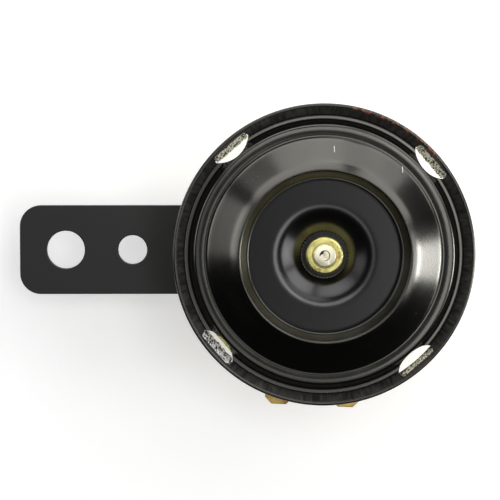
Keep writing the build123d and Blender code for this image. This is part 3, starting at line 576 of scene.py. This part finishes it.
# ---- front bell ----
# One sheet of 0.6 mm steel, pressed to a rolled mouth with a bead on its edge, a sloping wall, a slightly
# domed shoulder and a channel, with its rim folded over the housing's flange. Four windows are cut in it.
SHOULDER = 23.2
CHANNEL_FLOOR = FLANGE_FRONT + 0.6
BELL_WALL = 0.6
MOUTH_RADIUS, MOUTH_HEIGHT = 16.5, 3.5
CROWN_RADIUS, CROWN_HEIGHT = 18.3, 5.7
BROW_RADIUS, BROW_HEIGHT = 19.8, 4.8
SLOPE_FOOT_RADIUS = 25.3
DOME_RADIUS, DOME_HEIGHT = 26.6, 0.2
SHOULDER_RADIUS = 27.95
CHANNEL_RADIUS, CHANNEL_RISE = 29.2, 0.08
WALL_FOOT = 30.0
WALL_SLOPE = math.tan(math.radians(54.0))
BELL_RADIUS = 32.5
SKIRT_RADIUS = 30.75
BELL_BENDS = (0.4, 8.0, 1.4, 4.5, 0.85, 0.35, 0.35, 0.45, 0.9)
BELL_COLUMNS = 720
WRINKLE_REACH, WRINKLE_SPREAD = 30.8, 0.5
WRINKLE_HEIGHT = 0.12
WRINKLE_WAVES = ((47, 0.3), (83, 1.9), (121, 4.1), (31, 2.2))
BEAD_RADIUS = 0.28
BEAD_INSET = 0.12
BEAD_SIDES = 24
BEAD_COLUMNS = 240
WINDOW_INNER, WINDOW_OUTER = 28.2, 31.2
WINDOW_ARC = 6.5
WINDOW_CORNER = 0.8
WINDOW_HALF = WINDOW_LENGTH / 2
ARC_POINTS = 25
CORNER_POINTS = 6


def polar(material):
    """The distance from the sound axis in mm, the angle round it in degrees, and the places across
    and up from it in mm."""
    place = material.node_tree.nodes["Texture Coordinate"].outputs["Object"]
    to_bench = {"Vector": place, "Location": (-AXIS_X, 0, 0), "Scale": (1 / MM, 0, 1 / MM)}
    bench = add(material, "ShaderNodeMapping", to_bench)
    parts = add(material, "ShaderNodeSeparateXYZ", {0: bench})
    across, up = parts.outputs["X"], parts.outputs["Z"]
    squares = [
        add(material, "ShaderNodeMath", {0: side, 1: side}, operation="MULTIPLY") for side in (across, up)
    ]
    summed = add(material, "ShaderNodeMath", {0: squares[0], 1: squares[1]}, operation="ADD")
    distance = add(material, "ShaderNodeMath", {0: summed}, operation="SQRT")
    turn = add(material, "ShaderNodeMath", {0: up, 1: across}, operation="ARCTAN2")
    return distance, add(material, "ShaderNodeMath", {0: turn}, operation="DEGREES"), across, up


def band(material, value, low, high, soft):
    """One inside a range of a value, falling to zero over a soft edge outside it."""
    rising = add(material, "ShaderNodeMapRange", spread_over(value, (low - soft, low)))
    falling = add(material, "ShaderNodeMapRange", spread_over(value, (high, high + soft), (1.0, 0.0)))
    return add(material, "ShaderNodeMath", {0: rising, 1: falling}, operation="MULTIPLY")


# Stoved enamel is a deep gloss with faint waves. Dust lies in streaks in the channel and specks lie
# all over; there are two small scratches, and a stretch of the rim has chipped to its red primer.
ENAMEL_TINT = (1.0, 0.98, 0.88, 1.0)
DUSTY_REACH, DUSTY_EDGE = (30.3, 31.7), 0.15
STREAKS_PER_DEGREE, STREAKS_PER_MM = 1.1, 0.5
DUST_NOISE = (0.35, 0.75)
SPECK_SPACING = 1.4
SPECK_SIZE = (0.03, 0.06)
SPECK_PATCH, SPECK_NOISE = 2.2, (0.58, 0.6)
SCRATCHES = ((1.9, 22.2), (16.6, 17.8))
SCRATCH_LENGTH, SCRATCH_WIDTH = 1.1, 0.1
SCRATCH_END, SCRATCH_EDGE = 0.15, 0.06
CHIPPED_REACH, CHIPPED_REACH_EDGE = (31.75, 33.0), 0.25
CHIPPED_ANGLES, CHIPPED_ANGLE_EDGE = (42.0, 77.0), 4.0
CHIP_SIZE, CHIP_NOISE = 0.5, (0.5, 0.56)
CHIP_DEPTH = 0.5
UNEVEN_PATCH, UNEVEN_NOISE, UNEVEN_ROUGHNESS = 3.0, (0.3, 0.7), (0.19, 0.23)
DUST_DULLS = 0.6
DULLER_BY = 0.35
PEEL_SIZE, PEEL_SHARE = 0.5, 0.1
ENAMEL_RELIEF = 0.04
black_enamel = finish(
    "black_stoving_enamel", "#020202", 0.0, 0.2, IOR=1.75, Specular_Tint=ENAMEL_TINT
)
enamel = functools.partial(add, black_enamel)
distance, angle, across, up = polar(black_enamel)
in_channel = band(black_enamel, distance, *DUSTY_REACH, DUSTY_EDGE)
round_streaks = enamel("ShaderNodeMath", {0: angle, 1: STREAKS_PER_DEGREE}, operation="MULTIPLY")
out_streaks = enamel("ShaderNodeMath", {0: distance, 1: STREAKS_PER_MM}, operation="MULTIPLY")
streak_place = enamel("ShaderNodeCombineXYZ", {0: round_streaks, 1: out_streaks})
streaks = enamel("ShaderNodeTexNoise", {"Vector": streak_place, "Scale": 1.0, "Detail": 3.0})
streaky = enamel("ShaderNodeMapRange", spread_over(streaks, DUST_NOISE))
dust = enamel("ShaderNodeMath", {0: in_channel, 1: streaky}, operation="MULTIPLY")

place = black_enamel.node_tree.nodes["Texture Coordinate"].outputs["Object"]
cells = enamel("ShaderNodeTexVoronoi", {"Scale": 1 / (SPECK_SPACING * MM), "Vector": place})
near_cell = spread_over(cells.outputs["Distance"], SPECK_SIZE, (1.0, 0.0))
speck = enamel("ShaderNodeMapRange", near_cell)
sparse = enamel("ShaderNodeMapRange", spread_over(grain(black_enamel, SPECK_PATCH), SPECK_NOISE))
specks = enamel("ShaderNodeMath", {0: speck, 1: sparse}, operation="MULTIPLY")

scratched = 0.0
for scratch_across, scratch_up in SCRATCHES:
    narrow = band(black_enamel, across, scratch_across, scratch_across + SCRATCH_WIDTH, SCRATCH_EDGE)
    short = band(black_enamel, up, scratch_up, scratch_up + SCRATCH_LENGTH, SCRATCH_END)
    scratch = enamel("ShaderNodeMath", {0: narrow, 1: short}, operation="MULTIPLY")
    scratched = enamel("ShaderNodeMath", {0: scratch, 1: scratched}, operation="MAXIMUM")

at_rim = band(black_enamel, distance, *CHIPPED_REACH, CHIPPED_REACH_EDGE)
in_turn = band(black_enamel, angle, *CHIPPED_ANGLES, CHIPPED_ANGLE_EDGE)
on_stretch = enamel("ShaderNodeMath", {0: at_rim, 1: in_turn}, operation="MULTIPLY")
flaked = enamel("ShaderNodeMapRange", spread_over(grain(black_enamel, CHIP_SIZE, 4.0), CHIP_NOISE))
chip = enamel("ShaderNodeMath", {0: on_stretch, 1: flaked}, operation="MULTIPLY")

seen = linear("#040404")
for share, colour in ((dust, "#4a4846"), (specks, "#8a8880"), (scratched, "#d8d4c8"), (chip, "#7a4630")):
    mixed = enamel("ShaderNodeMix", {"Factor": share}, data_type="RGBA")
    join(black_enamel, seen, mixed.inputs[6])
    join(black_enamel, linear(colour), mixed.inputs[7])
    seen = mixed.outputs[2]
feed(black_enamel, "Base Color", seen)

dusted = enamel("ShaderNodeMath", {0: in_channel, 1: DUST_DULLS}, operation="MULTIPLY")
dull = enamel("ShaderNodeMath", {0: chip, 1: dusted}, operation="MAXIMUM")
duller = enamel("ShaderNodeMath", {0: dull, 1: DULLER_BY}, operation="MULTIPLY")
uneven = spread_over(grain(black_enamel, UNEVEN_PATCH), UNEVEN_NOISE, UNEVEN_ROUGHNESS)
even_sheen = enamel("ShaderNodeMapRange", uneven)
rough = enamel("ShaderNodeMath", {0: even_sheen, 1: duller}, operation="ADD")
feed(black_enamel, "Roughness", rough)

peel = enamel(
    "ShaderNodeMath", {0: grain(black_enamel, PEEL_SIZE), 1: PEEL_SHARE}, operation="MULTIPLY"
)
wrinkles = enamel("ShaderNodeMath", {0: streaks, 1: in_channel}, operation="MULTIPLY")
raised = enamel("ShaderNodeMath", {0: peel, 1: wrinkles}, operation="ADD")
chipped = enamel("ShaderNodeMath", {0: chip, 1: CHIP_DEPTH}, operation="MULTIPLY")
height = enamel("ShaderNodeMath", {0: raised, 1: chipped}, operation="SUBTRACT")
feed(black_enamel, "Normal", enamel("ShaderNodeBump", {"Height": height, "Distance": ENAMEL_RELIEF * MM}))

# Shearing bares the steel, which is pale. The low lines of its relief are painted near-black as shade in the
# grooves.
SHEAR_RIDGE = 0.2
SHEAR_RELIEF = 0.03
sheared_steel = finish("sheared_bare_steel", "#e4e4e0", 0.2, 0.45)
shear_lines = grain(sheared_steel, SHEAR_RIDGE, 3.0, (1, 0.4, 1))
# Painted shade: where the relief's noise is low the steel is coloured near-black, and elsewhere near-white.
groove_shade_colours = [(0.44, "#161513"), (0.5, "#fcfcfa")]
painted_groove_shade = add(sheared_steel, "ShaderNodeValToRGB", {"Fac": shear_lines}, groove_shade_colours)
feed(sheared_steel, "Base Color", painted_groove_shade)
ridged = {"Height": shear_lines, "Distance": SHEAR_RELIEF * MM}
feed(sheared_steel, "Normal", add(sheared_steel, "ShaderNodeBump", ridged))

bell_face = [
    (MOUTH_RADIUS, SHOULDER + MOUTH_HEIGHT),
    (CROWN_RADIUS, SHOULDER + CROWN_HEIGHT),
    (BROW_RADIUS, SHOULDER + BROW_HEIGHT),
    (SLOPE_FOOT_RADIUS, SHOULDER),
    (DOME_RADIUS, SHOULDER + DOME_HEIGHT),
    (SHOULDER_RADIUS, SHOULDER),
    (CHANNEL_RADIUS, CHANNEL_FLOOR + CHANNEL_RISE),
    (WALL_FOOT, CHANNEL_FLOOR),
    (BELL_RADIUS, CHANNEL_FLOOR + (BELL_RADIUS - WALL_FOOT) * WALL_SLOPE),
    (BELL_RADIUS, FLANGE_REAR - BELL_WALL),
    (SKIRT_RADIUS, FLANGE_REAR - BELL_WALL),
]
bell_profile = sheet_profile(bell_face, BELL_BENDS, BELL_WALL)
bell_points = lathe_points(bell_profile, BELL_COLUMNS)
bell_turn = 2 * np.pi * np.arange(BELL_COLUMNS) / BELL_COLUMNS
# The rim's fold gathers the sheet into fine waves, which are highest low on the channel's outer wall.
near_wrinkles = np.exp(-(((bell_profile[:, 0] - WRINKLE_REACH) / WRINKLE_SPREAD) ** 2))
on_wall = near_wrinkles * (bell_profile[:, 1] > CHANNEL_FLOOR)
gathers = sum(np.sin(waves * bell_turn + phase) / waves**0.5 for waves, phase in WRINKLE_WAVES)
bell_points[:, :, 2] += WRINKLE_HEIGHT * on_wall[:, None] * gathers[None, :]
bell_faces = grid_faces(len(bell_profile), BELL_COLUMNS)
bell = new_mesh("bell_pressing", stand_up(bell_points), bell_faces, black_enamel)

# A window is bowed on its inner side and straight on its outer side, with two rounded corners.
bowed_across = np.linspace(-WINDOW_HALF, WINDOW_HALF, ARC_POINTS)
arc_centre = WINDOW_INNER + WINDOW_ARC
bowed = np.stack([bowed_across, arc_centre - np.sqrt(WINDOW_ARC**2 - bowed_across**2)], axis=1)
quarter = np.linspace(0, np.pi / 2, CORNER_POINTS)
corner_across = WINDOW_HALF - WINDOW_CORNER + WINDOW_CORNER * np.cos(quarter)
corner_up = WINDOW_OUTER - WINDOW_CORNER + WINDOW_CORNER * np.sin(quarter)
right_corner = np.stack([corner_across, corner_up], axis=1)
left_corner = np.stack([-corner_across, corner_up], axis=1)[::-1]
window = np.concatenate([bowed, right_corner, left_corner])
WINDOW_KNIFE = (FLANGE_FRONT - 0.1, SHOULDER + 2)
for window_angle in WINDOW_ANGLES:
    cut(bell, prism("window", turned_by(window, window_angle - 90), *WINDOW_KNIFE, sheared_steel))
settle(bell, "body", "black_enamel", "front_bell")
bead_centre = np.array([MOUTH_RADIUS + BEAD_INSET, SHOULDER + MOUTH_HEIGHT + BEAD_INSET])
bead_profile = circle(BEAD_RADIUS, BEAD_SIDES) + bead_centre
bead = lathe("mouth_edge_bead", bead_profile, black_enamel, BEAD_COLUMNS)
settle(bead, "body", "black_enamel", "front_bell")

# ---- locking tabs ----
# The metal of each window is bent back into the housing's notch behind it, so that the bell can't
# turn. Each tab has its own torn edge, and they don't all reach in as far.
TAB_INSETS = (1.35, 1.35, 1.5, 0.45)
TAB_COLUMNS = 90
TAB_FRONT_ROWS = 24
TAB_REAR_ROWS = 12
TAB_ROOT = WINDOW_OUTER + 0.05
TAB_ROOT_WALL = 1.0
TAB_TIP_ABOVE_FLANGE = 0.4
TAB_TIP_WALL = 0.3
TAB_TIP_SLANT = 0.4
TAB_SIDE_GAP = 0.2
TAB_RAGGED = 0.25
TAB_RIDGE = 0.09
TAB_RIDGE_ENDS = (0.05, 0.95)
TAB_WAVES = (7, 13, 19, 29, 41, 53)
TAB_SHARP_DEGREES = 60


def locking_tab(window_angle, inset, seed):
    """A tab runs straight from its root on the window's outer side to its tip, down its front face
    and back up its rear one. Ridges along it and its ragged tip are sums of waves across its width."""
    share = np.linspace(-1, 1, TAB_COLUMNS)
    phases = np.random.default_rng(seed).uniform(0, 2 * np.pi, (2, len(TAB_WAVES)))
    waves = np.array(TAB_WAVES)[:, None]
    ridges = np.sin(waves * share * 2 + phases[0][:, None]).mean(0)
    ragged = np.sin(waves * share + phases[1][:, None]).mean(0)
    down = np.concatenate([np.linspace(0, 1, TAB_FRONT_ROWS), np.linspace(1, 0, TAB_REAR_ROWS)])[:, None]
    in_front = np.concatenate([np.ones(TAB_FRONT_ROWS), np.zeros(TAB_REAR_ROWS)])[:, None]
    tip = WINDOW_OUTER - inset - TAB_RAGGED * ragged
    reach = TAB_ROOT + (tip - TAB_ROOT + TAB_TIP_SLANT * (1 - in_front)) * down
    root_front = CHANNEL_FLOOR + (WINDOW_OUTER - WALL_FOOT) * WALL_SLOPE
    root_station = root_front - TAB_ROOT_WALL * (1 - in_front)
    tip_station = FLANGE_REAR + TAB_TIP_ABOVE_FLANGE + TAB_TIP_WALL * in_front
    station = root_station + (tip_station - root_station) * down
    lift = TAB_RIDGE * ridges * in_front * np.sin(np.pi * np.clip(down, *TAB_RIDGE_ENDS))
    room = np.sqrt(np.maximum(WINDOW_ARC**2 - (arc_centre - reach) ** 2, 0))
    width = np.minimum(room, WINDOW_HALF) - TAB_SIDE_GAP
    flat = turned_by(np.stack([share * width, reach + lift], axis=2), window_angle - 90)
    return np.concatenate([flat, (station + lift / 2)[:, :, None]], axis=2)


tab_rows = TAB_FRONT_ROWS + TAB_REAR_ROWS
tab_index = np.arange(tab_rows * TAB_COLUMNS).reshape(tab_rows, TAB_COLUMNS)
next_row = np.roll(tab_index, -1, axis=0)
tab_skin = np.stack(
    [tab_index[:, :-1], tab_index[:, 1:], next_row[:, 1:], next_row[:, :-1]], axis=2
)
tab_ends = [tab_index[:, 0].tolist(), tab_index[::-1, -1].tolist()]
tab_faces = tab_skin.reshape(-1, 4).tolist() + tab_ends
for number, (window_angle, inset) in enumerate(zip(WINDOW_ANGLES, TAB_INSETS)):
    tab_points = stand_up(locking_tab(window_angle, inset, number))
    tab = new_mesh(f"locking_tab_{number + 1}", tab_points, tab_faces, sheared_steel, TAB_SHARP_DEGREES)
    settle(tab, "body", "bright_steel", "front_bell")

# ---- bracket ----
# A flat strip of 2 mm steel with two round holes, clamped on the shank behind the housing. Its satin
# black paint is even and has only a soft sheen.
bracket_paint = finish("satin_black_paint", "#101010", 0.0, 0.42, 0.5, 0.006)
BRACKET_EASE = 0.25
eased("bracket", bracket_paint, "body", "black_bracket_paint", BRACKET_EASE)

# ---- stage: the horn lies on its back on a sheet of white card ----
# The card faces forward only, so that it doesn't hide the back of the horn. A glow that only the
# camera, mirrors and glass see makes it white, and the horn's shadow stays on it.
CARD_Y = 10.6 * MM
CARD_HALF = 130 * MM
CARD_GLOW = 0.35
CARD_CORNERS = ((-1, -1), (1, -1), (1, 1), (-1, 1))
card_mesh = bpy.data.meshes.new("white_card")
card_points = [(x * CARD_HALF, CARD_Y, z * CARD_HALF) for x, z in CARD_CORNERS]
card_mesh.from_pydata(card_points, [], [(0, 1, 2, 3)])
card = show("white_card", card_mesh)
paper = bpy.data.materials.new("white_card_paper")
paper.use_nodes = True
paper.node_tree.nodes.clear()
card_ray = add(paper, "ShaderNodeLightPath").outputs
card_seen = card_ray["Is Camera Ray"]
for kind in ("Is Glossy Ray", "Is Transmission Ray"):
    card_seen = add(paper, "ShaderNodeMath", {0: card_seen, 1: card_ray[kind]}, operation="MAXIMUM")
glow_level = add(paper, "ShaderNodeMath", {0: card_seen, 1: CARD_GLOW}, operation="MULTIPLY")
glow = add(paper, "ShaderNodeEmission", {"Strength": glow_level})
lit = add(paper, "ShaderNodeBsdfDiffuse", {"Color": linear("#f4f4f4")})
bright = add(paper, "ShaderNodeAddShader", {0: lit, 1: glow})
clear = add(paper, "ShaderNodeBsdfTransparent")
from_behind = add(paper, "ShaderNodeNewGeometry").outputs["Backfacing"]
one_sided = add(paper, "ShaderNodeMixShader", {0: from_behind, 1: bright, 2: clear})
add(paper, "ShaderNodeOutputMaterial", {"Surface": one_sided})
card_mesh.materials.append(paper)

# ---- light: soft panels round the horn, and a white surround ----
# Each panel is a rectangle that faces the middle of the bell. The surround is white to the camera and
# through glass, and gives almost no light.
PANEL_DISTANCE = 0.8
SURROUND_LIGHT = 0.02


def panel(name, angle, tilt, width, height, radiance):
    """A soft light at an angle round the sound axis and a tilt from it, with its width round the
    axis; its power is its radiance times its area times pi."""
    round_axis, from_axis = math.radians(angle), math.radians(tilt)
    sideways = math.sin(from_axis)
    towards = Vector((sideways * math.cos(round_axis), -math.cos(from_axis), sideways * math.sin(round_axis)))
    along_width = Vector((-math.sin(round_axis), 0, math.cos(round_axis)))
    lamp = bpy.data.lights.new(name, "AREA")
    lamp.shape = "RECTANGLE"
    lamp.size = width
    lamp.size_y = height
    lamp.energy = radiance * math.pi * width * height
    holder = show(name, lamp)
    holder.location = Vector((AXIS_X * MM, -SHOULDER * MM, 0)) + towards * PANEL_DISTANCE
    turn = Matrix((along_width, towards.cross(along_width), towards)).transposed()
    holder.rotation_euler = turn.to_euler()


panel("right_panel", -6, 80, 0.27, 0.22, 18.0)
panel("far_right_panel", -8, 62, 0.50, 0.24, 2.6)
panel("right_arch_panel", 42, 66, 0.62, 0.34, 2.6)
panel("left_arch_panel", 108, 66, 0.95, 0.34, 2.6)
panel("left_panel", 166, 70, 0.48, 0.28, 3.0)
panel("top_panel", 78, 82, 1.3, 0.14, 2.6)
panel("front_right_panel", -8, 19, 0.46, 0.22, 3.0)
panel("front_top_panel", 80, 16, 0.46, 0.20, 2.8)
panel("front_left_panel", 188, 16, 0.40, 0.16, 0.9)
panel("front_low_panel", 265, 19, 0.36, 0.16, 1.2)
panel("upper_right_panel", 55, 41, 0.62, 0.30, 1.2)

world = bpy.data.worlds.new("white_surround")
bpy.context.scene.world = world
world.use_nodes = True
world.node_tree.nodes.clear()
sky_ray = add(world, "ShaderNodeLightPath").outputs
both_rays = {0: sky_ray["Is Camera Ray"], 1: sky_ray["Is Transmission Ray"]}
sky_seen = add(world, "ShaderNodeMath", both_rays, operation="MAXIMUM")
dim = add(world, "ShaderNodeBackground", {"Strength": SURROUND_LIGHT})
white = add(world, "ShaderNodeBackground", {"Color": linear("#ffffff"), "Strength": 1.0})
surround = add(world, "ShaderNodeMixShader", {0: sky_seen, 1: dim, 2: white})
add(world, "ShaderNodeOutputWorld", {"Surface": surround})

# ---- camera: square on to the mouth, from a little above and to the left ----
# The rim's centre falls on RIM_PIXEL, and a millimetre there is RIM_SCALE pixels.
IMAGE_PIXELS = 500
RIM_SCALE = 4.656
RIM_STATION = 21.9
RIM_PIXEL = (324.14, 254.95)
DISTANCE = 420.0
CLIP_START = 0.01
YAW, RISE = math.radians(0.9), math.radians(3.3)
aside = (RIM_PIXEL[0] - IMAGE_PIXELS / 2) / RIM_SCALE
below = (RIM_PIXEL[1] - IMAGE_PIXELS / 2) / RIM_SCALE
aim = Vector((AXIS_X - aside, -RIM_STATION, below)) * MM
back = Vector((-math.sin(YAW) * math.cos(RISE), -math.cos(YAW) * math.cos(RISE), math.sin(RISE)))
lens = bpy.data.cameras.new("camera")
lens.lens = RIM_SCALE * DISTANCE / IMAGE_PIXELS * lens.sensor_width
lens.clip_start = CLIP_START
camera = show("camera", lens)
camera.location = aim + back * DISTANCE * MM
camera.rotation_euler = back.to_track_quat("Z", "Y").to_euler()
bpy.context.scene.camera = camera
bpy.context.scene.view_settings.view_transform = "Standard"
